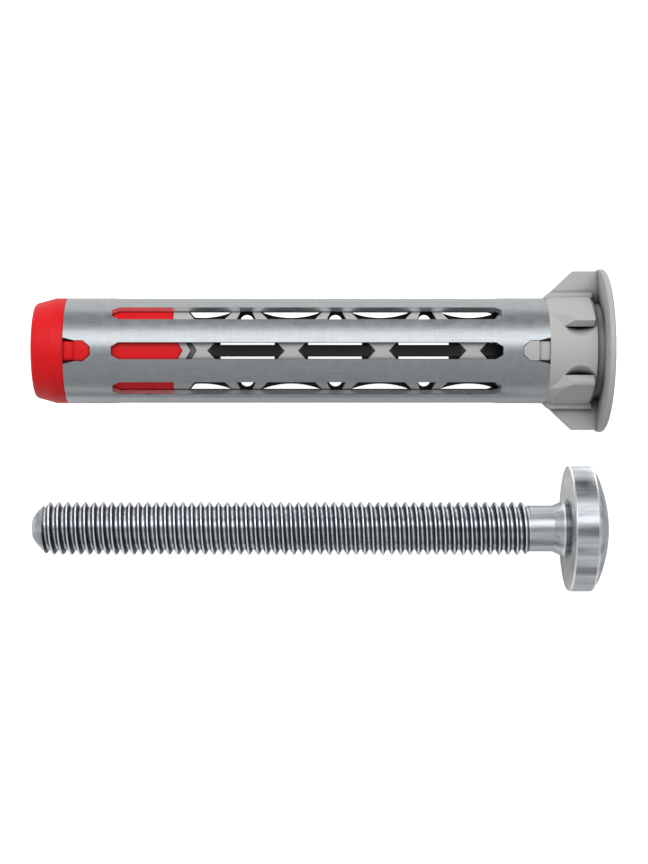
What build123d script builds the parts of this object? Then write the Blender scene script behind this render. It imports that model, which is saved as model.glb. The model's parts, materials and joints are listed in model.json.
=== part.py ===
from build123d import *
import math
import os

# Metal hollow wall anchor with its M6 machine screw, in millimetres.
# Each of the two is drawn along its own X axis and then laid on the ground.

# Sleeve, rolled from zinc-plated steel sheet
sleeve_diameter = 11.64
sleeve_length = 52.7
sheet_thickness = 0.6
seam_gap = 0.12
slot_rows = 8
slot_width = 1.84
slot_setback = 5.2
slot_end_setback = 5.1
slot_end_width = 0.9
slot_end_taper = 0.78

# Tongues that lock the two mouldings into the sleeve's notches
tongue_neck_length = 1.2
tongue_neck_width = 2.0
tongue_neck_step = 0.3
tongue_head_length = 1.7
tongue_head_width = 2.15
tongue_tip_width = 0.8
tongue_tip_taper = 0.72
notch_clearance = 0.06
notch_mouth_flare = 0.3

# Red end cap and its core inside the sleeve
cap_length = 3.6
cap_taper_length = 2.3
cap_nose_diameter = 10.4
cap_edge_radius = 0.5
cap_edge_flats = 3
core_length = 11.8
core_key_length = 1.1
core_key_width = 3.7

# Steel thread insert in the cap
insert_width = 8.0
insert_length = 8.0
insert_setback = 1.0
insert_clearance = 0.03
insert_chamfer = 0.3

# Grey lattice cage inside the sleeve
cage_clearance = 0.08
core_gap = 0.04
passage_clearance = 0.2
lattice_wall = 1.25
node_count = 4
node_pitch = 9.83
first_node_setback = 14.88
node_waist = 1.44
node_rise = 0.85
opening_shoulder_width = 2.1
opening_shoulder_rise = 3.4
opening_tip_width = 0.9
opening_tip_rise = 4.6
first_opening_slope = 50.4
entry_ring_length = 0.9
rib_thickness = 1.28
scallop_radius = 8.9
scallop_depth = 1.5
half_moon_radius = 0.76
foot_length = 3.66
foot_width = 2.4
foot_height = 0.9
chevron_width = 0.65
chevron_depth = 0.35
chevron_setback = 0.9

# Collar outside the sleeve
body_length = 5.1
shoulder_height = 0.3
shoulder_ramp_length = 2.6
panel_width = 5.24
panel_mouth_width = 8.4
panel_nose_length = 1.45
scoop_length = 3.3
scoop_width = 1.05
scoop_depth = 0.9
scoop_setback = 3.3
shoulder_wall_lean = 0.66
shoulder_wall_height = 0.68
shoulder_land_width = 0.38
shoulder_land_drop = 0.13
shoulder_side_angle = 60
shoulder_end_setback = 0.3
neck_diameter = 10.6
neck_length = 0.79
flange_diameter = 18.06
flange_thickness = 0.62
flange_edge_chamfer = 0.12
fin_reach = 8.79
fin_thickness = 1.3
fin_ramp_length = 3.17
fin_base_reach = 6.4
fin_base_thickness = 3.2

# Machine screw
thread_diameter = 6.0
tapping_diameter = 5.0
screw_length = 60.0
screw_end_diameter = 2.4
screw_nose_length = 0.42
screw_nose_diameter = 3.6
screw_tip_length = 1.3
screw_tip_diameter = 5.4
thread_length = 54.1
shank_diameter = 5.15
flare_length = 1.2
flare_diameter = 6.25
undercut_length = 0.25
head_diameter = 14.1
head_rim_length = 2.7
head_dome_height = 1.8
head_edge_chamfer = 0.25
recess_wing = 1.5
recess_depth = 2.6
recess_floor_width = 2.6
recess_draft = 26.0

# How the two lie on the ground
axis_spacing = 19.84
anchor_roll = 2.6
screw_roll = 45.0
screw_shift = -0.6

# Sizes that follow from the ones above
sleeve_radius = sleeve_diameter / 2
sleeve_start = cap_length
sleeve_end = sleeve_start + sleeve_length
slot_length = sleeve_length - slot_setback - slot_end_setback
cage_radius = sleeve_radius - sheet_thickness - cage_clearance
passage_radius = thread_diameter / 2 + passage_clearance
core_end = sleeve_start + core_length
body_end = sleeve_end + body_length
flange_start = body_end + neck_length
flange_end = flange_start + flange_thickness
cap_nose_radius = cap_nose_diameter / 2
flange_radius = flange_diameter / 2
# edge of the blocks that cut a piece along a plane, larger than any cross-section
block_size = 2 * flange_diameter
thread_radius = thread_diameter / 2
head_radius = head_diameter / 2
thread_start = screw_tip_length + (thread_diameter - screw_tip_diameter) / 2
insert_end = insert_setback + insert_length
shoulder_radius = sleeve_radius + shoulder_height
cage_end = sleeve_start + first_node_setback + (node_count - 0.5) * node_pitch - node_waist / 2


def turned(outline):
    return revolve(make_face(Polyline(*outline, close=True)), Axis.X)


def ring(outer, inner, start, end):
    return turned([(start, inner), (end, inner), (end, outer), (start, outer)])


def upright_prism(outline, low, high):
    return Pos(0, 0, low) * extrude(make_face(Polyline(*outline, close=True)), high - low)


def side_prism(outline, width):
    # the outline is given along X and Z and is spread evenly to both sides along Y
    profile = Plane.XZ * make_face(Polyline(*outline, close=True))
    return extrude(profile, width / 2, both=True)


def far_side(first, second, third):
    # a big block on the positive side of the plane through three points
    a, b, c = Vector(first), Vector(second), Vector(third)
    normal = (b - a).cross(c - a)
    return Plane(origin=a, z_dir=normal) * Pos(0, 0, block_size / 2) * Box(block_size, block_size, block_size)


def hexagon_bar(width, start, end):
    profile = RegularPolygon(width / 2, 6, major_radius=False)
    return Plane.YZ.offset(start) * extrude(profile, end - start)


def node_places():
    # the knots of the lattice that lie behind the front and the back slots
    first = sleeve_start + first_node_setback
    return [first + step * node_pitch for step in range(node_count)]


def both_sides(half):
    return half + [(x, -y) for x, y in reversed(half)]


def tongue_ends(edge, inward):
    # where a tongue's head begins to narrow and where it ends
    tip = edge + inward * (tongue_neck_length + tongue_head_length)
    return tip - inward * tongue_tip_taper, tip


def tongue_outline(edge, inward):
    # from the sleeve's edge inward, a neck and then a wider head with a blunt point
    taper, tip = tongue_ends(edge, inward)
    neck_end = edge + inward * tongue_neck_length
    neck = tongue_neck_width / 2
    head = tongue_head_width / 2
    return both_sides([(edge - inward * 0.5, neck), (neck_end, neck), (neck_end, head),
                       (taper, head), (tip, tongue_tip_width / 2)])


def sleeve_notch(edge, inward):
    # a little larger than the tongue's head, with a mouth that flares to the sheet's edge
    taper, tip = tongue_ends(edge, inward)
    head = tongue_head_width / 2 + notch_clearance
    mouth = head + notch_mouth_flare
    outline = both_sides([(edge - inward * 0.5, mouth), (edge, mouth),
                          (edge + inward * tongue_neck_length, head), (taper, head),
                          (tip + inward * notch_clearance, tongue_tip_width / 2 + notch_clearance)])
    return upright_prism(outline, cage_radius - 1, sleeve_radius + 1)


def tongue(edge, inward):
    # the neck is sunk below the sheet's face and the head is flush with it
    blank = upright_prism(tongue_outline(edge, inward), cage_radius - 0.5, sleeve_radius + 1)
    neck_end = edge + inward * tongue_neck_length
    head_end = neck_end + inward * tongue_head_length
    neck = blank & ring(sleeve_radius - tongue_neck_step, 1, *sorted((edge, neck_end)))
    head = blank & ring(sleeve_radius, 1, *sorted((neck_end, head_end)))
    return neck + head


def slot_outline():
    start = sleeve_start + slot_setback
    end = start + slot_length
    side = slot_width / 2
    tip = slot_end_width / 2
    return both_sides([(start, tip), (start + slot_end_taper, side),
                       (end - slot_end_taper, side), (end, tip)])


def make_sleeve():
    tube = ring(sleeve_radius, sleeve_radius - sheet_thickness, sleeve_start, sleeve_end)
    slot = upright_prism(slot_outline(), 0, sleeve_radius + 1)
    for row in range(slot_rows):
        tube -= Rot(row * 360 / slot_rows, 0, 0) * slot
    tube -= sleeve_notch(sleeve_start, 1)
    tube -= sleeve_notch(sleeve_end, -1)
    seam = Pos((sleeve_start + sleeve_end) / 2, 0, sleeve_radius) * Box(sleeve_length + 1, seam_gap, 4)
    return tube - Rot(180 + 180 / slot_rows, 0, 0) * seam


def key_outline(margin=0.0):
    # the pointed end of the red core, front and back
    half = core_key_width / 2
    return [(core_end - 1, half), (core_end + margin, half),
            (core_end + core_key_length + margin, 0),
            (core_end + margin, -half), (core_end - 1, -half)]


def rounded_rim():
    # the cap's rounded edge in a few short flats, which run into its taper
    lean = math.atan2(sleeve_radius - cap_nose_radius, cap_taper_length)
    middle = cap_nose_radius - cap_edge_radius * (1 - math.sin(lean)) / math.cos(lean)
    step = (math.pi / 2 - lean) / cap_edge_flats
    turns = [math.pi - step * place for place in range(cap_edge_flats + 1)]
    return [(cap_edge_radius * (1 + math.cos(turn)), middle + cap_edge_radius * math.sin(turn))
            for turn in turns]


def make_end_cap():
    nose = turned([(0, passage_radius), *rounded_rim(), (cap_taper_length, sleeve_radius),
                   (sleeve_start, sleeve_radius), (sleeve_start, passage_radius)])
    core = ring(cage_radius, passage_radius, sleeve_start - 0.2, core_end)
    key = upright_prism(key_outline(), -sleeve_radius, sleeve_radius)
    core += key & ring(cage_radius, passage_radius, core_end - 1, core_end + core_key_length)
    cap = nose + core + tongue(sleeve_start, 1)
    pocket = hexagon_bar(insert_width + 2 * insert_clearance, -1, insert_end)
    return cap - pocket


def make_thread_insert():
    bar = hexagon_bar(insert_width, insert_setback, insert_end)
    corner = insert_width / math.sqrt(3)
    shape = turned([(insert_setback, 0), (insert_setback, corner - insert_chamfer),
                    (insert_setback + insert_chamfer, corner), (insert_end, corner), (insert_end, 0)])
    return (bar & shape) - Rot(0, 90, 0) * Cylinder(tapping_diameter / 2, 100)


def diamond_opening(centre):
    # six-sided above the axis: it narrows slowly at first and then more steeply
    reach = node_pitch / 2 - node_waist / 2
    shoulder = opening_shoulder_width / 2
    tip = opening_tip_width / 2
    right = [(reach, 0), (shoulder, opening_shoulder_rise), (tip, opening_tip_rise)]
    left = [(-x, y) for x, y in reversed(right)]
    upper = Pos(centre, 0, 0) * upright_prism(right + left, -sleeve_radius, sleeve_radius)
    return upper + mirror(upper, about=Plane.XZ)


def vee_opening(node, first):
    # an open V above a knot, which runs out over the cage's side
    top = cage_radius + 1
    right = (node + top - node_rise, top)
    apex = (node, node_rise)
    left = (node - top + node_rise, top)
    if first:
        lean = math.tan(math.radians(first_opening_slope))
        ring_end = core_end + entry_ring_length
        apex_x = (cage_radius - node_rise + node + ring_end * lean) / (1 + lean)
        apex = (apex_x, node_rise + apex_x - node)
        left = (ring_end - 1 / lean, top)
    upper = upright_prism([apex, right, left], -sleeve_radius, sleeve_radius)
    return upper + mirror(upper, about=Plane.XZ)


def scalloped_rib(centres, start, end):
    # a straight rib whose outer edge is hollowed between the knots that carry it
    rib = side_prism([(start, 0), (end, 0), (end, sleeve_radius), (start, sleeve_radius)], rib_thickness)
    for centre in centres:
        height = cage_radius - scallop_depth + scallop_radius
        rib -= Pos(centre, 0, height) * Rot(90, 0, 0) * Cylinder(scallop_radius, 2 * rib_thickness)
    return rib


def make_cage():
    start = core_end + core_gap
    lattice = ring(cage_radius, cage_radius - lattice_wall, start, cage_end)
    lattice += ring(cage_radius, passage_radius, start, core_end + entry_ring_length)
    lattice += ring(cage_radius, passage_radius, cage_end, sleeve_end + 0.5)
    nodes = node_places()
    middles = [node + node_pitch / 2 for node in nodes]
    rib_start = core_end + 0.5
    passage = ring(cage_radius, passage_radius, start, sleeve_end)
    front = scalloped_rib(middles, rib_start, sleeve_end) & passage
    side = scalloped_rib(nodes, rib_start, sleeve_end) & passage
    for place, middle in enumerate(middles):
        opening = diamond_opening(middle)
        if place == node_count - 1:
            opening -= Pos(cage_end + 20, 0, 0) * Box(40, 40, 40)
        else:
            half_moon = Rot(90, 0, 0) * Cylinder(half_moon_radius, 2 * rib_thickness)
            side -= Pos(middle, 0, passage_radius) * half_moon
        lattice -= opening
    for node in nodes:
        lattice -= vee_opening(node, node == nodes[0])
    for turn in (0, 180):
        lattice += Rot(turn, 0, 0) * front
        lattice += Rot(turn + 90, 0, 0) * side
    foot_radius = passage_radius + foot_height
    for node in nodes:
        block = Pos(node, 0, 0) * Box(foot_length, foot_width, 4 * foot_radius)
        lattice += block & ring(foot_radius, passage_radius, start, cage_end)
    lattice -= upright_prism(key_outline(core_gap), -sleeve_radius, sleeve_radius)
    return lattice - chevron_groove()


def chevron_groove():
    # a shallow V-shaped groove between the entry ring and the first knot
    lean = core_key_length / (core_key_width / 2)
    half = slot_width / 2 + 0.4
    tip = core_end + core_key_length + chevron_setback
    back = tip - lean * half
    outline = [(tip, 0), (back, half), (back + chevron_width, half),
               (tip + chevron_width, 0), (back + chevron_width, -half), (back, -half)]
    groove = upright_prism(outline, 0, sleeve_radius)
    groove -= Rot(0, 90, 0) * Cylinder(cage_radius - chevron_depth, 200)
    return groove + mirror(groove, about=Plane.XY)


def fin_profile(reach, end):
    # both the fins and their thicker bases climb from the sleeve's face at one slope
    slope = (fin_reach - sleeve_radius) / fin_ramp_length
    ramp = (reach - sleeve_radius) / slope
    return [(sleeve_end, passage_radius + 1), (sleeve_end, sleeve_radius), (sleeve_end + ramp, reach),
            (end, reach), (end, passage_radius + 1)]


def fin_pair(reach, end, thickness):
    fin = upright_prism(fin_profile(reach, end), -thickness / 2, thickness / 2)
    return fin + mirror(fin, about=Plane.XZ)


def four_corners(piece):
    pair = piece + mirror(piece, about=Plane.XZ)
    return pair + mirror(pair, about=Plane.XY)


def shoulder_foot():
    # where the shoulder's wall stands on the panel's round surface
    root = panel_width / 2
    return root, math.sqrt(sleeve_radius ** 2 - root ** 2)


def beside_wall(side):
    # a block on one side of the shoulder's foot, the panel's side for -1 and the shoulder's for 1
    half = block_size / 2
    return Pos(body_end, shoulder_foot()[0] + side * half, half) * Box(block_size, block_size, block_size)


def make_scoop():
    # a round cutter that sinks towards the foot of the shoulder's wall and runs out in the panel
    root, root_height = shoulder_foot()
    floor = root_height - scoop_depth
    runout = root - scoop_width
    runout_height = math.sqrt(sleeve_radius ** 2 - runout ** 2)
    along = Vector(0, runout - root, runout_height - floor).normalized()
    across = Vector(0, along.Z, -along.Y)
    depth = Vector(0, 0, root_height - floor).dot(across)
    cutter_radius = ((scoop_length / 2) ** 2 + depth ** 2) / (2 * depth)
    axis_point = Vector(sleeve_end + scoop_setback, root, floor) + across * cutter_radius
    cutter = Plane(origin=axis_point, z_dir=along) * Cylinder(cutter_radius, 4 * scoop_length)
    return cutter & beside_wall(-1)


def make_shoulder():
    # a raised crown beside the front panel, which slopes down to the collar's round side
    root, root_height = shoulder_foot()
    crown, crown_height = root + shoulder_wall_lean, root_height + shoulder_wall_height
    land, land_height = crown + shoulder_land_width, crown_height - shoulder_land_drop
    turn = math.radians(shoulder_side_angle)
    side, side_height = shoulder_radius * math.sin(turn), shoulder_radius * math.cos(turn)
    section = make_face(Polyline((root, root_height / 2), (root, root_height), (crown, crown_height),
                                 (land, land_height), (side, side_height), (side / 2, side_height / 2), close=True))
    end = body_end - shoulder_end_setback
    start_plane = Plane(origin=(sleeve_end, 0, 0), x_dir=(0, 1, 0), z_dir=(1, 0, 0))
    raised = start_plane * extrude(section, end - sleeve_end)
    raised += ring(shoulder_radius, passage_radius + 1, sleeve_end, end)
    reach = math.hypot(land, land_height)
    ramp_end = sleeve_end + shoulder_ramp_length
    ramp = turned([(sleeve_end, 1), (sleeve_end, sleeve_radius), (ramp_end, reach + 0.01),
                   (end, reach + 0.01), (end, 1)])
    wall = far_side((body_end, root, root_height), (sleeve_end, root, root_height),
                    (sleeve_end, crown, crown_height))
    mouth = panel_mouth_width / 2
    nose = far_side((sleeve_end + panel_nose_length, root, root_height),
                    (sleeve_end, mouth, math.sqrt(sleeve_radius ** 2 - mouth ** 2)),
                    (ramp_end, crown, crown_height))
    return raised & ramp & beside_wall(1) & wall & nose


def make_collar():
    body = ring(sleeve_radius, passage_radius, sleeve_end, body_end)
    body -= four_corners(make_scoop())
    body += four_corners(make_shoulder())
    body += fin_pair(fin_base_reach, body_end, fin_base_thickness)
    body += fin_pair(fin_reach, flange_start + 0.1, fin_thickness)
    body += ring(neck_diameter / 2, passage_radius, body_end - 0.5, flange_start + 0.1)
    disc = ring(flange_radius, passage_radius, flange_start, flange_end)
    rims = disc.edges().filter_by(GeomType.CIRCLE).group_by(SortBy.RADIUS)[-1]
    return body + chamfer(rims, flange_edge_chamfer)


def make_collar_and_cage():
    return make_collar() + make_cage() + tongue(sleeve_end, -1)


def recess_wing_cut():
    # one blade of the cross recess, narrower towards its floor
    top = screw_length + head_rim_length + head_dome_height + 0.5
    floor = top - 0.5 - recess_depth
    spread = (top - floor) * math.tan(math.radians(recess_draft))
    wide = recess_floor_width / 2 + spread
    return side_prism([(floor, recess_floor_width / 2), (top, wide), (top, -wide),
                       (floor, -recess_floor_width / 2)], recess_wing)


def make_screw():
    shank_end = screw_length - undercut_length - flare_length
    thread_end = thread_start + thread_length
    shank_radius = shank_diameter / 2
    neck_start = thread_end + thread_radius - shank_radius
    rim_end = screw_length + head_rim_length
    # the dome is a part of a ball whose middle lies on the axis
    ball_radius = (head_radius ** 2 + head_dome_height ** 2) / (2 * head_dome_height)
    half_way = math.sqrt(ball_radius ** 2 - (head_radius / 2) ** 2) - ball_radius + head_dome_height
    outline = Polyline((rim_end + head_dome_height, 0), (0, 0), (0, screw_end_diameter / 2),
                       (screw_nose_length, screw_nose_diameter / 2),
                       (screw_tip_length, screw_tip_diameter / 2), (thread_start, thread_radius),
                       (thread_end, thread_radius), (neck_start, shank_radius),
                       (shank_end, shank_radius), (shank_end + flare_length, flare_diameter / 2),
                       (shank_end + flare_length, shank_radius), (screw_length, shank_radius),
                       (screw_length, head_radius), (rim_end, head_radius))
    outline += ThreePointArc((rim_end, head_radius), (rim_end + half_way, head_radius / 2),
                             (rim_end + head_dome_height, 0))
    profile = make_face(outline)
    profile = chamfer(profile.vertices().group_by(Axis.Y)[-1], head_edge_chamfer)
    blank = revolve(profile, Axis.X)
    wing = recess_wing_cut()
    return blank - wing - Rot(90, 0, 0) * wing


def rest_slope(low_corner, high_corner):
    # slope of the axis when both corners touch the ground
    run = high_corner[0] - low_corner[0]
    rise = high_corner[1] - low_corner[1]
    return math.degrees(math.atan2(rise, run))


def rest_place(shapes, roll, slope, along, side):
    # roll about the long axis, tip the heavy end up and set down on the ground
    turn = Rot(0, -slope, 0) * Rot(roll, 0, 0)
    lowest = min((turn * shape).bounding_box().min.Z for shape in shapes)
    return Pos(along, side, -lowest) * turn


def centring(shapes):
    # brings the middle of the whole group's box over the origin
    boxes = [shape.bounding_box() for shape in shapes]
    middle_x = (min(box.min.X for box in boxes) + max(box.max.X for box in boxes)) / 2
    middle_y = (min(box.min.Y for box in boxes) + max(box.max.Y for box in boxes)) / 2
    return Pos(-middle_x, -middle_y, 0)


anchor = {
    "sleeve": make_sleeve(),
    "end_cap": make_end_cap(),
    "thread_insert": make_thread_insert(),
    "collar_and_cage": make_collar_and_cage(),
}
screw = make_screw()
flange_corner = (flange_start + flange_edge_chamfer, flange_radius)
anchor_slope = rest_slope((cap_taper_length, sleeve_radius), flange_corner)
screw_slope = rest_slope((thread_start, thread_radius), (screw_length + head_edge_chamfer, head_radius))
anchor_place = rest_place(anchor.values(), anchor_roll, anchor_slope, 0, axis_spacing)
screw_place = rest_place([screw], screw_roll, screw_slope, screw_shift, 0)
laid = {name: anchor_place * shape for name, shape in anchor.items()}
laid["screw"] = screw_place * screw
centre = centring(laid.values())

os.makedirs("parts", exist_ok=True)
for name, shape in laid.items():
    placed = centre * shape
    export_step(placed, f"parts/{name}.step")
    box = placed.bounding_box()
    print(name, round(placed.volume, 2), box.min, box.max)
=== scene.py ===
import bmesh
import bpy
import json
import math
from mathutils import Matrix, Vector

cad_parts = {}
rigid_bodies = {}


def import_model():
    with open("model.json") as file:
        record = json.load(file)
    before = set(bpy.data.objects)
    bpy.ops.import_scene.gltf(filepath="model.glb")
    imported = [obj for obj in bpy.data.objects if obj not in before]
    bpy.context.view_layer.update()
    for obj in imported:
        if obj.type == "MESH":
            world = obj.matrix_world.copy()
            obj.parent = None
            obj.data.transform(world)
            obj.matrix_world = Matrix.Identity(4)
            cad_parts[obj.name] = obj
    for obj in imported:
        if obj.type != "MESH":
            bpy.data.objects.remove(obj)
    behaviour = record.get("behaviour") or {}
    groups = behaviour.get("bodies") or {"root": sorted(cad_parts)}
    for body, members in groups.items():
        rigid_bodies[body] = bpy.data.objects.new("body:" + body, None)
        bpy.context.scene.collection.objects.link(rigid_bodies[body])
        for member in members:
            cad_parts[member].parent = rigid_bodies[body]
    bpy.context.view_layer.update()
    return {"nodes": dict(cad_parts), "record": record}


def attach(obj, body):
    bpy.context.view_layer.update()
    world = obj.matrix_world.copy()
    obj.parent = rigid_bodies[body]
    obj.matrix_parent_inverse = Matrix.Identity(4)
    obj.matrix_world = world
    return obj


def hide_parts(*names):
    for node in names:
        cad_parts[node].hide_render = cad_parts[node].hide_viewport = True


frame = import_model()
mm = 0.001
mounts = {mount["name"]: mount for mount in frame["record"]["mounts"]}
print("stage: frame loaded", sorted(frame["nodes"]))


def hexToLinear(code):
    # sRGB hex to the linear colour that a shader takes
    channels = [int(code[place:place + 2], 16) / 255 for place in (1, 3, 5)]
    return [c / 12.92 if c <= 0.04045 else ((c + 0.055) / 1.055) ** 2.4 for c in channels] + [1.0]


def addNode(tree, kind, settings=None, links=None):
    # settings are plain properties, links are socket values or the sockets to join
    node = tree.nodes.new(kind)
    for name, value in (settings or {}).items():
        setattr(node, name, value)
    for socket, value in (links or {}).items():
        if isinstance(value, bpy.types.NodeSocket):
            tree.links.new(value, node.inputs[socket])
        else:
            node.inputs[socket].default_value = value
    return node


def newMaterial(name):
    material = bpy.data.materials.new(name)
    material.use_nodes = True
    material.node_tree.nodes.clear()
    return material, material.node_tree


def axisPlace(mountName, distanceMm, forward=1, rollDegrees=0.0):
    # X runs along the mount's axis, and the origin lies that far before the mount's point
    mount = mounts[mountName]
    run = Vector(mount["axis"]).normalized() * forward
    side = Vector((0, 1, 0))
    up = run.cross(side).normalized()
    turn = Matrix((run, side, up)).transposed().to_4x4()
    start = Vector(mount["pos_m"]) - run * distanceMm * mm
    return Matrix.Translation(start) @ turn @ Matrix.Rotation(math.radians(rollDegrees), 4, "X")


def distanceFromAxis(tree, place, mountName):
    # how far a point of the surface lies from a mount's axis
    mount = mounts[mountName]
    arm = addNode(tree, "ShaderNodeVectorMath", {"operation": "SUBTRACT"}, {
        0: place.outputs["Object"], 1: mount["pos_m"]})
    turned = addNode(tree, "ShaderNodeVectorMath", {"operation": "CROSS_PRODUCT"}, {
        0: arm.outputs["Vector"], 1: mount["axis"]})
    reach = addNode(tree, "ShaderNodeVectorMath", {"operation": "LENGTH"}, {0: turned.outputs["Vector"]})
    return reach.outputs["Value"]


sleeveLook = {
    "colour": "#dce1e4",
    "darkColour": "#a4aaae",
    "edgeColour": "#f4f6f8",
    "roughness": (0.26, 0.37),
    "cloudMm": 1.1,
    "cloudDetail": 3.0,
    "cloudGrain": 0.6,
    "cloudRange": (0.3, 0.7),
    "brushMm": 0.22,
    "brushDepthMm": 0.02,
    "brushBump": 0.05,
    "combMm": 0.2,
    "combShare": 0.4,
    "lineStretch": 0.05,
    "lineDetail": 2.0,
    "lineShare": 0.6,
    "edgeRoughness": 0.5,
    "edgeMm": 5.7,
    "faceMm": 5.79,
}


def makeZincSheet():
    # rolled steel sheet with a bluish zinc plating: satin, faintly cloudy, with fine drawn lines
    look = sleeveLook
    material, tree = newMaterial("zincPlatedRolledSheet")
    place = addNode(tree, "ShaderNodeTexCoord")
    cloud = addNode(tree, "ShaderNodeTexNoise", None, {
        "Vector": place.outputs["Object"], "Scale": 1 / (look["cloudMm"] * mm),
        "Detail": look["cloudDetail"], "Roughness": look["cloudGrain"]})
    # fine lines along the tube from drawing the sheet, and weaker ones around it from rolling
    stretched = addNode(tree, "ShaderNodeMapping", None, {
        "Vector": place.outputs["Object"], "Scale": (look["lineStretch"], 1.0, 1.0)})
    brush = addNode(tree, "ShaderNodeTexNoise", None, {
        "Vector": stretched.outputs["Vector"], "Scale": 1 / (look["brushMm"] * mm),
        "Detail": look["lineDetail"]})
    combed = addNode(tree, "ShaderNodeMapping", None, {
        "Vector": place.outputs["Object"], "Scale": (1.0, look["lineStretch"], look["lineStretch"])})
    comb = addNode(tree, "ShaderNodeTexNoise", None, {
        "Vector": combed.outputs["Vector"], "Scale": 1 / (look["combMm"] * mm),
        "Detail": look["lineDetail"]})
    worked = addNode(tree, "ShaderNodeMix", {"data_type": "FLOAT"}, {
        0: look["combShare"], 2: brush.outputs["Fac"], 3: comb.outputs["Fac"]})
    tarnish = addNode(tree, "ShaderNodeMix", {"data_type": "FLOAT"}, {
        0: look["lineShare"], 2: cloud.outputs["Fac"], 3: worked.outputs[0]})
    colour = addNode(tree, "ShaderNodeMix", {"data_type": "RGBA"}, {
        0: tarnish.outputs[0], 6: hexToLinear(look["darkColour"]), 7: hexToLinear(look["colour"])})
    bump = addNode(tree, "ShaderNodeBump", None, {
        "Height": brush.outputs["Fac"], "Strength": look["brushBump"],
        "Distance": look["brushDepthMm"] * mm})
    rough = addNode(tree, "ShaderNodeMapRange", None, {
        "Value": cloud.outputs["Fac"], "From Min": look["cloudRange"][0], "From Max": look["cloudRange"][1],
        "To Min": look["roughness"][0], "To Max": look["roughness"][1]})
    # the sheared edges of the slots are brighter than the sheet's face and mirror what lies in the slot
    onFace = addNode(tree, "ShaderNodeMapRange", None, {
        "Value": distanceFromAxis(tree, place, "screw_passage"),
        "From Min": look["edgeMm"] * mm, "From Max": look["faceMm"] * mm})
    finish = addNode(tree, "ShaderNodeMix", {"data_type": "FLOAT"}, {
        0: onFace.outputs["Result"], 2: look["edgeRoughness"], 3: rough.outputs["Result"]})
    plating = addNode(tree, "ShaderNodeMix", {"data_type": "RGBA"}, {
        0: onFace.outputs["Result"], 6: hexToLinear(look["edgeColour"]), 7: colour.outputs[2]})
    shader = addNode(tree, "ShaderNodeBsdfPrincipled", None, {
        "Base Color": plating.outputs[2], "Metallic": 1.0, "Roughness": finish.outputs[0],
        "Normal": bump.outputs["Normal"]})
    addNode(tree, "ShaderNodeOutputMaterial", None, {"Surface": shader.outputs["BSDF"]})
    return material


# what the grey and the red moulding share
mouldedFinish = {
    "ior": 1.53,
    "grainDetail": 2.0,
    "grainBump": 0.15,
    "grainDepthMm": 0.01,
    "edgeSamples": 6,
    "gapSamples": 8,
    "creaseSamples": 6,
    "creaseDark": 0.3,
    "creaseOpen": 0.8,
}


def makeMouldedPlastic(name, look):
    # moulded polyamide: a soft highlight broken by a very fine grain from the mould
    finish = mouldedFinish
    material, tree = newMaterial(name)
    place = addNode(tree, "ShaderNodeTexCoord")
    grain = addNode(tree, "ShaderNodeTexNoise", None, {
        "Vector": place.outputs["Object"], "Scale": 1 / (look["grainMm"] * mm),
        "Detail": finish["grainDetail"]})
    # a mould leaves no knife edge, so each edge catches the light over a small round
    rounded = addNode(tree, "ShaderNodeBevel", {"samples": finish["edgeSamples"]}, {
        "Radius": look["edgeMm"] * mm})
    bump = addNode(tree, "ShaderNodeBump", None, {
        "Height": grain.outputs["Fac"], "Strength": finish["grainBump"],
        "Distance": finish["grainDepthMm"] * mm, "Normal": rounded.outputs["Normal"]})
    # painted shade: the colour darkens in narrow gaps and inside the tube, where far less light reaches
    # than on the open faces
    gap = addNode(tree, "ShaderNodeAmbientOcclusion", {"samples": finish["gapSamples"]}, {
        "Distance": look["gapMm"] * mm})
    openness = addNode(tree, "ShaderNodeMapRange", None, {
        "Value": gap.outputs["AO"], "From Min": look["gapDark"], "From Max": look["gapOpen"]})
    # and a thin line of painted shade lies in each sharp inner corner
    crease = addNode(tree, "ShaderNodeAmbientOcclusion", {"samples": finish["creaseSamples"]}, {
        "Distance": look["creaseMm"] * mm})
    creased = addNode(tree, "ShaderNodeMapRange", None, {
        "Value": crease.outputs["AO"], "From Min": finish["creaseDark"], "From Max": finish["creaseOpen"],
        "To Min": look["creaseShade"]})
    # painted shade inside the cage's outer face, set by the distance from the passage's axis
    nearness = addNode(tree, "ShaderNodeMapRange", None, {
        "Value": distanceFromAxis(tree, place, "screw_passage"),
        "From Min": look["innerMm"] * mm, "From Max": look["outerMm"] * mm})
    reached = addNode(tree, "ShaderNodeMath", {"operation": "MULTIPLY"}, {
        0: openness.outputs["Result"], 1: nearness.outputs["Result"]})
    light = addNode(tree, "ShaderNodeMath", {"operation": "MULTIPLY"}, {
        0: reached.outputs["Value"], 1: creased.outputs["Result"]})
    # the moulding's colour, darkened towards the painted shade colour where less light reaches
    colour = addNode(tree, "ShaderNodeMix", {"data_type": "RGBA"}, {
        0: light.outputs["Value"], 6: hexToLinear(look["paintedShadeColour"]), 7: hexToLinear(look["colour"])})
    shader = addNode(tree, "ShaderNodeBsdfPrincipled", None, {
        "Base Color": colour.outputs[2], "Roughness": look["roughness"], "IOR": finish["ior"],
        "Specular IOR Level": look["sheen"], "Normal": bump.outputs["Normal"]})
    addNode(tree, "ShaderNodeOutputMaterial", None, {"Surface": shader.outputs["BSDF"]})
    return material


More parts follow.
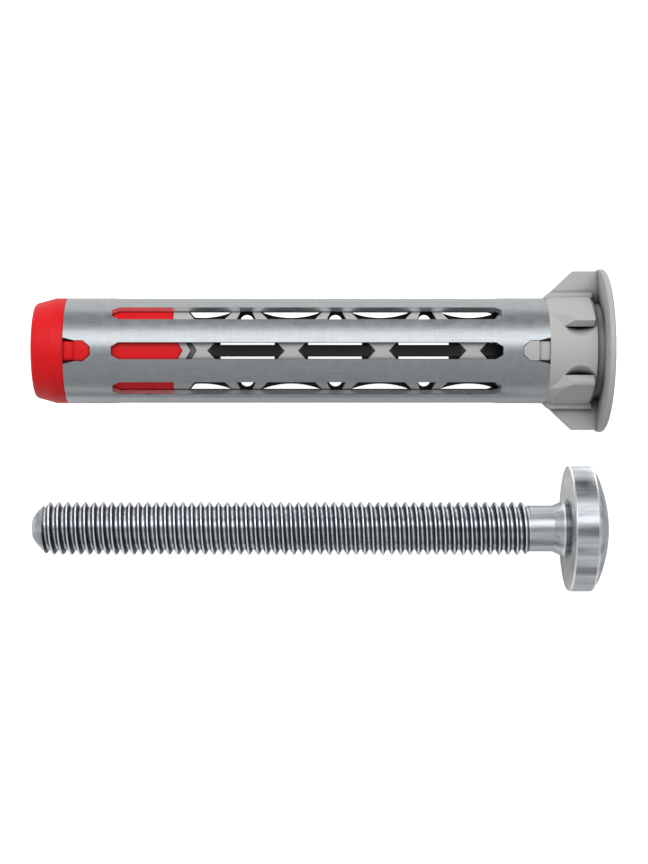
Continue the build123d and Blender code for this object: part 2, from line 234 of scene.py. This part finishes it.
collarLook = {
    "colour": "#c6c6c5",
    # the painted shade's colour, and how far the painted shade reaches in gaps, corners and the tube's
    # inside
    "paintedShadeColour": "#1a1b1b",
    "gapMm": 9.0,
    "gapDark": 0.14,
    "gapOpen": 0.62,
    "creaseMm": 0.6,
    "creaseShade": 0.5,
    "edgeMm": 0.12,
    "sheen": 0.5,
    "innerMm": 4.45,
    "outerMm": 5.11,
    "roughness": 0.48,
    "grainMm": 0.12,
}
capLook = {
    "colour": "#ee1b22",
    # the painted shade's colour, and how far the painted shade reaches in gaps, corners and the tube's
    # inside
    "paintedShadeColour": "#4a0608",
    "gapMm": 4.0,
    "gapDark": 0.05,
    "gapOpen": 0.4,
    "creaseMm": 0.5,
    "creaseShade": 0.4,
    "edgeMm": 0.5,
    "sheen": 0.22,
    "innerMm": 2.9,
    "outerMm": 3.3,
    "roughness": 0.42,
    "grainMm": 0.15,
}

screwLook = {
    "colour": "#dde2e7",
    "darkColour": "#959ba1",
    # the colour of the painted shade, and the white of the painted highlight
    "screwShadeColour": "#5e6873",
    "edgeColour": "#ffffff",
    "roughness": 0.26,
    "bandMm": 1.3,
    "bandStretch": 0.05,
    "bandSeed": 1.0,
    "bandDetail": 3.0,
    "bandGrain": 0.55,
    "bandRange": (0.38, 0.66),
    "grainMm": 0.3,
    "grainDetail": 2.0,
    "grainBump": 0.1,
    "grainDepthMm": 0.02,
}


def makeZincScrew(name="brightZincPlatedSteel"):
    # cold-headed and thread-rolled steel with bright blue zinc plating, a painted highlight on its edges,
    # drawn bands along it and painted shade on the thread's flanks
    look = screwLook
    material, tree = newMaterial(name)
    place = addNode(tree, "ShaderNodeTexCoord")
    stretched = addNode(tree, "ShaderNodeMapping", None, {
        "Vector": place.outputs["Object"], "Scale": (look["bandStretch"], 1.0, 1.0)})
    band = addNode(tree, "ShaderNodeTexNoise", {"noise_dimensions": "4D"}, {
        "Vector": stretched.outputs["Vector"], "W": look["bandSeed"], "Scale": 1 / (look["bandMm"] * mm),
        "Detail": look["bandDetail"], "Roughness": look["bandGrain"]})
    contrast = addNode(tree, "ShaderNodeMapRange", None, {
        "Value": band.outputs["Fac"], "From Min": look["bandRange"][0], "From Max": look["bandRange"][1]})
    plain = addNode(tree, "ShaderNodeMix", {"data_type": "RGBA"}, {
        0: contrast.outputs["Result"], 6: hexToLinear(look["darkColour"]), 7: hexToLinear(look["colour"])})
    # the mesh carries the painted tone, from -1 for painted shade in a groove to 1 for a painted highlight
    # on an edge
    tone = addNode(tree, "ShaderNodeAttribute", {"attribute_name": "tone"})
    # painted highlight: towards white where the tone rises above zero
    highlighted = addNode(tree, "ShaderNodeMix", {"data_type": "RGBA"}, {
        0: tone.outputs["Fac"], 6: plain.outputs[2], 7: hexToLinear(look["edgeColour"])})
    # painted shade: towards the shade colour where the tone falls below zero
    shaded = addNode(tree, "ShaderNodeMapRange", None, {
        "Value": tone.outputs["Fac"], "From Min": -1.0, "From Max": 0.0})
    colour = addNode(tree, "ShaderNodeMix", {"data_type": "RGBA"}, {
        0: shaded.outputs["Result"], 6: hexToLinear(look["screwShadeColour"]), 7: highlighted.outputs[2]})
    grain = addNode(tree, "ShaderNodeTexNoise", None, {
        "Vector": place.outputs["Object"], "Scale": 1 / (look["grainMm"] * mm),
        "Detail": look["grainDetail"]})
    bump = addNode(tree, "ShaderNodeBump", None, {
        "Height": grain.outputs["Fac"], "Strength": look["grainBump"],
        "Distance": look["grainDepthMm"] * mm})
    shader = addNode(tree, "ShaderNodeBsdfPrincipled", None, {
        "Base Color": colour.outputs[2], "Metallic": 1.0, "Roughness": look["roughness"],
        "Normal": bump.outputs["Normal"]})
    addNode(tree, "ShaderNodeOutputMaterial", None, {"Surface": shader.outputs["BSDF"]})
    return material


# screw sizes in millimetres, measured from its tip, with its turn in degrees
screwForm = {
    "roll": 45.0,
    "ringPoints": 72,
    "weldReach": 1e-5,
    "sharpAngle": 23.0,
    "pitch": 1.0,
    "crestRadius": 3.0,
    "threadDepth": 0.6134,
    "threadMiddle": 28.65,
    "threadEnd": 55.7,
    "runOutLength": 0.5,
    "endRadius": 1.2,
    "noseLength": 0.42,
    "noseRadius": 1.8,
    "tipLength": 1.3,
    "tipRadius": 2.7,
    "shankRadius": 2.575,
    "length": 60.0,
    "flareLength": 1.2,
    "flareRadius": 3.125,
    "flareSteps": 4,
    "flareLip": (0.06, -0.04),
    "undercut": 0.5,
    "undercutStart": (0.08, 0.1),
    "undercutEnd": 0.12,
    "undersideRings": (0.1, 0.3),
    "headRadius": 7.05,
    "rimLength": 2.7,
    "domeHeight": 1.8,
    "domeSteps": 12,
    "edgeRound": 0.25,
    "edgeSteps": 4,
    "recessWing": 1.5,
    "recessDepth": 2.6,
    "recessFloor": 2.6,
    "recessDraft": 26.0,
    "cutterMargin": 0.5,
    # the painted tones: painted highlight on edges, painted shade in the gap and on the dome, painted light
    # on the underside, and how far each reaches
    "paintedHighlightTone": 1.0,
    "gapTone": -0.8,
    "domeTone": -0.45,
    "undersideTone": 0.45,
    "toneReach": 0.02,
    "gapReach": 0.2,
    "paintedHighlightShare": 0.9,
}

# one pitch of a rolled metric thread: share of the pitch, share of the depth, and the painted tone from -1
# for painted shade on a flank to 1 for a painted highlight on a crest
threadProfile = [(-0.1, 0.106, 0.2), (-0.055, 0.025, 1.0), (0.0, 0.0, 1.0), (0.055, 0.025, 1.0),
                 (0.1, 0.106, 0.2), (0.16, 0.276, -1.0), (0.33, 0.758, -1.0), (0.39, 0.91, -0.2),
                 (0.44, 0.985, 0.3), (0.5, 1.0, 0.5), (0.56, 0.985, 0.3), (0.61, 0.91, -0.2),
                 (0.67, 0.758, -1.0), (0.84, 0.276, -1.0)]


def tipReach(x):
    # how far out the thread may stand on the tapered tip
    form = screwForm
    full = form["tipLength"] + form["crestRadius"] - form["tipRadius"]
    corners = [(0, form["endRadius"]), (form["noseLength"], form["noseRadius"]),
               (form["tipLength"], form["tipRadius"]), (full, form["crestRadius"])]
    for (x0, r0), (x1, r1) in zip(corners, corners[1:]):
        if x <= x1:
            return r0 + (r1 - r0) * max(0, x - x0) / (x1 - x0)
    return form["crestRadius"]


def threadPoint(x, turn, depthShare):
    form = screwForm
    radius = form["crestRadius"] - form["threadDepth"] * depthShare
    runOut = min(1, max(0, form["threadEnd"] - x) / form["runOutLength"])
    radius = form["shankRadius"] + (radius - form["shankRadius"]) * runOut
    x = min(max(x, 0), form["threadEnd"])
    radius = min(radius, tipReach(x))
    return Vector((x, radius * math.cos(turn), radius * math.sin(turn)))


def makeThread(mesh):
    # a right-hand helix: each column is one pitch of the profile, a little further round and along
    form = screwForm
    toneLayer = mesh.verts.layers.float["tone"]
    ring = form["ringPoints"]
    depth = len(threadProfile)
    columns = ring * (math.ceil(form["threadEnd"] / form["pitch"]) + 2)
    points = []
    for column in range(columns + 1):
        turn = 2 * math.pi * column / ring
        along = form["pitch"] * (column / ring - 1)
        points.append([mesh.verts.new(threadPoint(along + form["pitch"] * share, turn, deep))
                       for share, deep, tone in threadProfile])
        for vert, (share, deep, tone) in zip(points[-1], threadProfile):
            # painted highlight on the crests and painted shade on the flanks, only along the full thread
            vert[toneLayer] = tone if form["tipLength"] < vert.co.x < form["threadEnd"] else 0.0
    for column in range(columns):
        for place in range(depth):
            last = place == depth - 1
            if last and column + 1 + ring > columns:
                continue
            right = (column + ring, 0) if last else (column, place + 1)
            corners = [(column, place), (column + 1, place), (right[0] + 1, right[1]), right]
            mesh.faces.new([points[a][b] for a, b in corners])
    bmesh.ops.remove_doubles(mesh, verts=mesh.verts, dist=form["weldReach"])


def addRing(mesh, x, radius):
    ring = screwForm["ringPoints"]
    turns = [-2 * math.pi * step / ring for step in range(ring)]
    return [mesh.verts.new((x, radius * math.cos(turn), radius * math.sin(turn))) for turn in turns]


def bridgeRings(mesh, first, second):
    count = len(first)
    for step in range(count):
        after = (step + 1) % count
        mesh.faces.new((first[step], first[after], second[after], second[step]))


def headOutline():
    # from the end of the thread over the neck, the flare and the head to near the dome's top
    form = screwForm
    flareEnd = form["length"] - form["undercut"]
    rimEnd = form["length"] + form["rimLength"]
    shank, flare = form["shankRadius"], form["flareRadius"]
    head, edge = form["headRadius"], form["edgeRound"]
    outline = [(form["threadEnd"], shank)]
    for step in range(form["flareSteps"] + 1):
        share = step / form["flareSteps"]
        outline.append((flareEnd - form["flareLength"] * (1 - share), shank + (flare - shank) * share))
    # the flare's lip, the undercut behind it and the head's underside
    outline.append((flareEnd + form["flareLip"][0], flare + form["flareLip"][1]))
    outline.append((flareEnd + form["undercutStart"][0], shank + form["undercutStart"][1]))
    outline.append((form["length"], shank + form["undercutEnd"]))
    outline += [(form["length"], flare + margin) for margin in form["undersideRings"]]
    # the rim with its two rounded edges
    turns = [math.pi / 2 * step / form["edgeSteps"] for step in range(form["edgeSteps"] + 1)]
    for turn in turns:
        outline.append((form["length"] + edge * (1 - math.cos(turn)), head - edge * (1 - math.sin(turn))))
    for turn in turns:
        outline.append((rimEnd - edge * (1 - math.sin(turn)), head - edge * (1 - math.cos(turn))))
    # the dome is a part of a ball
    ball = (head ** 2 + form["domeHeight"] ** 2) / (2 * form["domeHeight"])
    middle = rimEnd + form["domeHeight"] - ball
    for step in range(1, form["domeSteps"]):
        radius = (head - edge) * (1 - step / form["domeSteps"])
        outline.append((middle + math.sqrt(ball ** 2 - radius ** 2), radius))
    return outline, rimEnd + form["domeHeight"]


def makeHead():
    # a closed blank, turned from the outline, which the cross recess is then cut from
    mesh = bmesh.new()
    outline, top = headOutline()
    rings = [addRing(mesh, x, radius) for x, radius in outline]
    for first, second in zip(rings, rings[1:]):
        bridgeRings(mesh, first, second)
    apex = mesh.verts.new((top, 0, 0))
    last = rings[-1]
    for step in range(len(last)):
        mesh.faces.new((last[step], last[(step + 1) % len(last)], apex))
    mesh.faces.new(rings[0])
    bmesh.ops.recalc_face_normals(mesh, faces=mesh.faces)
    return mesh, top


def makeRecessCutter(top):
    # two crossing blades, narrower towards the recess's floor
    form = screwForm
    mesh = bmesh.new()
    floor = top - form["recessDepth"]
    high = top + form["cutterMargin"]
    low = form["recessFloor"] / 2
    wide = low + (high - floor) * math.tan(math.radians(form["recessDraft"]))
    half = form["recessWing"] / 2
    outline = [(-half, wide), (-half, half), (-wide, half), (-wide, -half), (-half, -half), (-half, -wide),
               (half, -wide), (half, -half), (wide, -half), (wide, half), (half, half), (half, wide)]
    shrink = low / wide
    upper = [mesh.verts.new((high, y, z)) for y, z in outline]
    lower = [mesh.verts.new((floor, *(side * shrink if abs(side) == wide else side for side in corner)))
             for corner in outline]
    bridgeRings(mesh, upper, lower)
    mesh.faces.new(upper)
    mesh.faces.new(lower)
    bmesh.ops.recalc_face_normals(mesh, faces=mesh.faces)
    return mesh


def headTone(x, radius):
    # painted highlight on the head's rounded edges and the flare's rim, painted light on the head's
    # underside, and painted shade on the dome and in the gap behind the flare
    form = screwForm
    reach, edge = form["toneReach"], form["edgeRound"]
    flareEnd = form["length"] - form["undercut"]
    rimEnd = form["length"] + form["rimLength"]
    inward = min(x - form["length"], rimEnd - x)
    onRound = radius > form["headRadius"] - edge and reach < inward < form["paintedHighlightShare"] * edge
    if onRound or abs(x - flareEnd) < reach:
        return form["paintedHighlightTone"]
    if flareEnd < x < form["length"] + reach and radius < form["flareRadius"] + form["gapReach"]:
        return form["gapTone"]
    if x > rimEnd + reach:
        return form["domeTone"]
    return form["undersideTone"] if abs(x - form["length"]) < reach else 0.0


def meshObject(name, mesh, place=None):
    data = bpy.data.meshes.new(name)
    mesh.to_mesh(data)
    mesh.free()
    if place is not None:
        data.transform(place @ Matrix.Scale(mm, 4))
    made = bpy.data.objects.new(name, data)
    bpy.context.scene.collection.objects.link(made)
    return made


def cutRecess(head, cutter):
    cut = head.modifiers.new("recess", "BOOLEAN")
    cut.operation = "DIFFERENCE"
    cut.solver = "EXACT"
    cut.object = cutter
    graph = bpy.context.evaluated_depsgraph_get()
    result = bmesh.new()
    result.from_mesh(head.evaluated_get(graph).to_mesh())
    return result


def buildScrew(material):
    form = screwForm
    headMesh, top = makeHead()
    head = meshObject("headBlank", headMesh)
    cutter = meshObject("recessCutter", makeRecessCutter(top))
    mesh = cutRecess(head, cutter)
    bpy.data.objects.remove(head)
    bpy.data.objects.remove(cutter)
    # the blank's flat end goes, and the thread takes its place
    joint = [face for face in mesh.faces
             if all(abs(vert.co.x - form["threadEnd"]) < form["weldReach"] for vert in face.verts)]
    bmesh.ops.delete(mesh, geom=joint, context="FACES_ONLY")
    # the tone paints highlight and shade into the screw's colour
    toneLayer = mesh.verts.layers.float.new("tone")
    for vert in mesh.verts:
        vert[toneLayer] = headTone(vert.co.x, math.hypot(vert.co.y, vert.co.z))
    makeThread(mesh)
    end = [vert for vert in mesh.verts if abs(vert.co.x) < form["weldReach"]]
    end.sort(key=lambda vert: math.atan2(vert.co.z, vert.co.y))
    mesh.faces.new(end)
    bmesh.ops.recalc_face_normals(mesh, faces=mesh.faces)
    place = axisPlace("screw_thread", form["threadMiddle"], -1, form["roll"])
    screw = meshObject("machineScrew", mesh, place)
    for face in screw.data.polygons:
        face.use_smooth = True
    screw.data.set_sharp_from_angle(angle=math.radians(form["sharpAngle"]))
    screw.data.materials.append(material)
    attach(screw, "root")
    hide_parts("screw")
    return screw


def dress(node, material):
    target = frame["nodes"][node]
    target.data.materials.clear()
    target.data.materials.append(material)


zincSheet = makeZincSheet()
greyPlastic = makeMouldedPlastic("greyMouldedPolyamide", collarLook)
redPlastic = makeMouldedPlastic("redMouldedPolyamide", capLook)
zincScrew = makeZincScrew()
insertSteel = makeZincScrew("zincPlatedInsertSteel")
print("stage: materials")
dress("sleeve", zincSheet)
dress("collar_and_cage", greyPlastic)
dress("end_cap", redPlastic)
dress("thread_insert", insertSteel)
screw = buildScrew(zincScrew)
print("stage: screw", len(screw.data.polygons))

stageLook = {
    "floorSize": 8.0,
    "floorColour": "#f4f4f3",
    "floorRoughness": 0.9,
    "glowColour": "#ffffff",
    "floorGlow": 0.85,
    "floorMirrored": 0.05,
    "worldLow": "#dcdcdc",
    "worldHigh": "#ffffff",
    "worldStrength": 0.4,
}


def buildFloor():
    half = stageLook["floorSize"] / 2
    mesh = bmesh.new()
    corners = [(-half, -half), (half, -half), (half, half), (-half, half)]
    mesh.faces.new([mesh.verts.new((x, y, 0)) for x, y in corners])
    floor = meshObject("paleFloor", mesh)
    material, tree = newMaterial("paleStudioPaper")
    # the paper looks lit from below, metal mirrors a little of that, and the rest of the object doesn't
    ray = addNode(tree, "ShaderNodeLightPath")
    mirrored = addNode(tree, "ShaderNodeMath", {"operation": "MULTIPLY"}, {
        0: ray.outputs["Is Glossy Ray"], 1: stageLook["floorMirrored"]})
    glow = addNode(tree, "ShaderNodeMath", {"operation": "MULTIPLY_ADD"}, {
        0: ray.outputs["Is Camera Ray"], 1: stageLook["floorGlow"], 2: mirrored.outputs["Value"]})
    shader = addNode(tree, "ShaderNodeBsdfPrincipled", None, {
        "Base Color": hexToLinear(stageLook["floorColour"]), "Roughness": stageLook["floorRoughness"],
        "Emission Color": hexToLinear(stageLook["glowColour"]), "Emission Strength": glow.outputs["Value"]})
    addNode(tree, "ShaderNodeOutputMaterial", None, {"Surface": shader.outputs["BSDF"]})
    floor.data.materials.append(material)


def buildWorld():
    # an even pale room, a little darker near the ground
    world = bpy.data.worlds.new("paleStudio")
    bpy.context.scene.world = world
    world.use_nodes = True
    tree = world.node_tree
    tree.nodes.clear()
    place = addNode(tree, "ShaderNodeTexCoord")
    parts = addNode(tree, "ShaderNodeSeparateXYZ", None, {"Vector": place.outputs["Generated"]})
    colour = addNode(tree, "ShaderNodeMix", {"data_type": "RGBA"}, {
        0: parts.outputs["Z"], 6: hexToLinear(stageLook["worldLow"]),
        7: hexToLinear(stageLook["worldHigh"])})
    glow = addNode(tree, "ShaderNodeBackground", None, {
        "Color": colour.outputs[2], "Strength": stageLook["worldStrength"]})
    addNode(tree, "ShaderNodeOutputWorld", None, {"Surface": glow.outputs["Background"]})


# each soft light: where it hangs, as degrees from straight up towards +Y and +X and a distance from
# the place it is aimed at, how large it is, all in metres and watts, whether metal mirrors it, and
# the one piece that it reaches where it doesn't reach all
lightPlan = [
    {"name": "softTop", "aim": (0, 0, 0), "distance": 0.6, "towardY": 26.0, "towardX": 0.0,
     "size": (1.1, 0.34), "power": 1.15, "mirrored": True},
    {"name": "softHigh", "aim": (0, 0, 0), "distance": 0.6, "towardY": 32.0, "towardX": 0.0,
     "size": (1.2, 0.46), "power": 0.31, "mirrored": True},
    {"name": "softKey", "aim": (0, 0, 0), "distance": 0.6, "towardY": 40.0, "towardX": -20.0,
     "size": (0.4, 0.4), "power": 1.1, "mirrored": False},
    {"name": "screwSheen", "aim": (0, 0, 0), "distance": 0.6, "towardY": 48.0, "towardX": 0.0,
     "size": (1.2, 0.7), "power": 0.8, "mirrored": True, "reaches": "machineScrew"},
    {"name": "screwFill", "aim": (0, 0, 0), "distance": 0.6, "towardY": -45.0, "towardX": 0.0,
     "size": (1.2, 0.8), "power": 0.75, "mirrored": True, "reaches": "machineScrew"},
    {"name": "screwCard", "aim": (0, -0.0109, 0.0065), "distance": 0.0085, "towardY": 90.0, "towardX": 0.0,
     "size": (0.075, 0.009), "power": 0.0017, "mirrored": True, "reaches": "machineScrew"},
]


def buildLights():
    for lamp in lightPlan:
        data = bpy.data.lights.new(lamp["name"], "AREA")
        data.shape = "RECTANGLE"
        data.size, data.size_y = lamp["size"]
        data.energy = lamp["power"]
        made = bpy.data.objects.new(lamp["name"], data)
        bpy.context.scene.collection.objects.link(made)
        y, x = math.radians(lamp["towardY"]), math.radians(lamp["towardX"])
        away = Vector((math.sin(x), math.sin(y) * math.cos(x), math.cos(y) * math.cos(x)))
        made.location = Vector(lamp["aim"]) + away * lamp["distance"]
        made.rotation_mode = "QUATERNION"
        made.rotation_quaternion = away.to_track_quat("Z", "Y")
        made.visible_camera = False
        made.visible_glossy = lamp["mirrored"]
        if "reaches" in lamp:
            lit = bpy.data.collections.new(lamp["name"] + "Reach")
            lit.objects.link(bpy.data.objects[lamp["reaches"]])
            made.light_linking.receiver_collection = lit


# the lens and the place that give the photograph's own view, with the distance and clip in metres
cameraPlan = {
    "lens": 73.75,
    "distance": 0.1967,
    "aimMm": 27.94,
    "passageMiddleMm": 35.905,
    "acrossMm": -9.03,
    "shiftX": 0.0417,
    "sensorWidth": 36,
    "clip": (0.01, 10),
}


def buildCamera():
    plan = cameraPlan
    data = bpy.data.cameras.new("photoCamera")
    data.lens = plan["lens"]
    data.sensor_width = plan["sensorWidth"]
    data.shift_x = plan["shiftX"]
    data.clip_start, data.clip_end = plan["clip"]
    camera = bpy.data.objects.new("photoCamera", data)
    bpy.context.scene.collection.objects.link(camera)
    place = axisPlace("screw_passage", plan["passageMiddleMm"] - plan["aimMm"])
    right, up, back = (Vector(place.col[column][:3]) for column in (0, 1, 2))
    turn = Matrix((right, up, back)).transposed().to_4x4()
    aim = place.translation + up * plan["acrossMm"] * mm
    camera.matrix_world = Matrix.Translation(aim + back * plan["distance"]) @ turn
    bpy.context.scene.camera = camera


buildFloor()
buildWorld()
buildLights()
buildCamera()
bpy.context.scene.view_settings.view_transform = "Standard"
print("stage: studio")
